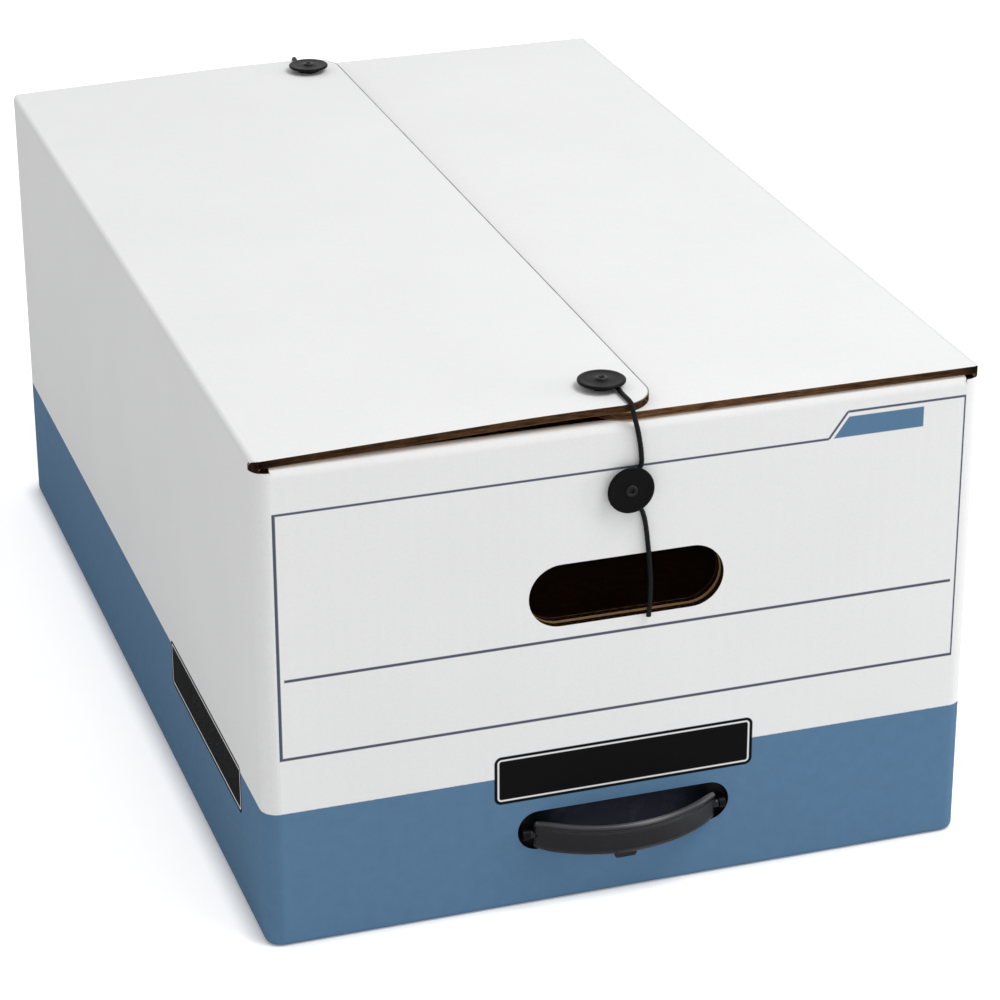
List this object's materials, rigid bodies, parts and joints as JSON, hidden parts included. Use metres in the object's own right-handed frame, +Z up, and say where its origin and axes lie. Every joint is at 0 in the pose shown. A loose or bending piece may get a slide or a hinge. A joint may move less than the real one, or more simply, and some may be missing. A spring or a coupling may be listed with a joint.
{
  "type": "file storage box",
  "caption": "Long corrugated file storage box with two overlapping top flaps, string-and-button closures, hand holes in both ends and a moulded strap handle.",
  "frame": {"origin": "middle of the flat bottom, on the surface that the box stands on", "axes": "+Z up; -Y out of the front end, which has the strap handle; +X to the right seen from the front; the long side runs along Y"},
  "size_m": [0.3874, 0.6379, 0.283],
  "materials": {
    "corrugated_board": "white-topped board with a slate blue printed foot, brown inside and at cut edges, matte",
    "handle_plastic": "black moulded plastic, satin",
    "button_plastic": "black disc, slightly glossy",
    "rivet_metal": "steel with a black coat, semi-gloss",
    "string": "black waxed twisted cord"
  },
  "bodies": {
    "box": {"left_side_panel": "corrugated_board", "right_side_panel": "corrugated_board", "front_end_panel": "corrugated_board", "rear_end_panel": "corrugated_board", "front_inner_panel": "corrugated_board", "rear_inner_panel": "corrugated_board", "bottom_outer_panel": "corrugated_board", "bottom_inner_panel": "corrugated_board", "front_bottom_flap": "corrugated_board", "rear_bottom_flap": "corrugated_board", "glue_tab": "corrugated_board", "handle_backplate": "handle_plastic", "front_panel_button": "button_plastic", "front_panel_rivet": "rivet_metal", "front_panel_washer": "rivet_metal", "rear_panel_button": "button_plastic", "rear_panel_rivet": "rivet_metal", "rear_panel_washer": "rivet_metal"},
    "left_flap": {"left_top_flap": "corrugated_board", "front_flap_button": "button_plastic", "front_flap_rivet": "rivet_metal", "front_flap_washer": "rivet_metal", "rear_flap_button": "button_plastic", "rear_flap_rivet": "rivet_metal", "rear_flap_washer": "rivet_metal", "front_string": "string", "rear_string": "string"},
    "right_flap": {"right_top_flap": "corrugated_board"},
    "strap": {"handle_strap": "handle_plastic"},
    "front_tab": {"front_handhole_tab": "corrugated_board"},
    "rear_tab": {"rear_handhole_tab": "corrugated_board"}
  },
  "joints": [
    {"name": "left_flap_hinge", "type": "hinge", "parent": "box", "child": "left_flap", "pos_m": [-0.1937, 0, 0.2731], "axis": [0, -1, 0], "range_deg": [0, 225], "deforming": ["front_string", "rear_string"]},
    {"name": "right_flap_hinge", "type": "hinge", "parent": "box", "child": "right_flap", "pos_m": [0.1937, 0, 0.2731], "axis": [0, 1, 0], "range_deg": [0, 180]},
    {"name": "strap_swing", "type": "hinge", "parent": "box", "child": "strap", "pos_m": [0, -0.3064, 0.0422], "axis": [-1, 0, 0], "range_deg": [-12, 24]},
    {"name": "front_tab_fold", "type": "hinge", "parent": "box", "child": "front_tab", "pos_m": [0, -0.296, 0.19535], "axis": [1, 0, 0], "range_deg": [-165, 13]},
    {"name": "rear_tab_fold", "type": "hinge", "parent": "box", "child": "rear_tab", "pos_m": [0, 0.296, 0.19535], "axis": [-1, 0, 0], "range_deg": [-165, 13]}
  ],
  "couplings": [
    {"joint": "right_flap_hinge", "follows": "left_flap_hinge", "ratio": 0.8}
  ]
}
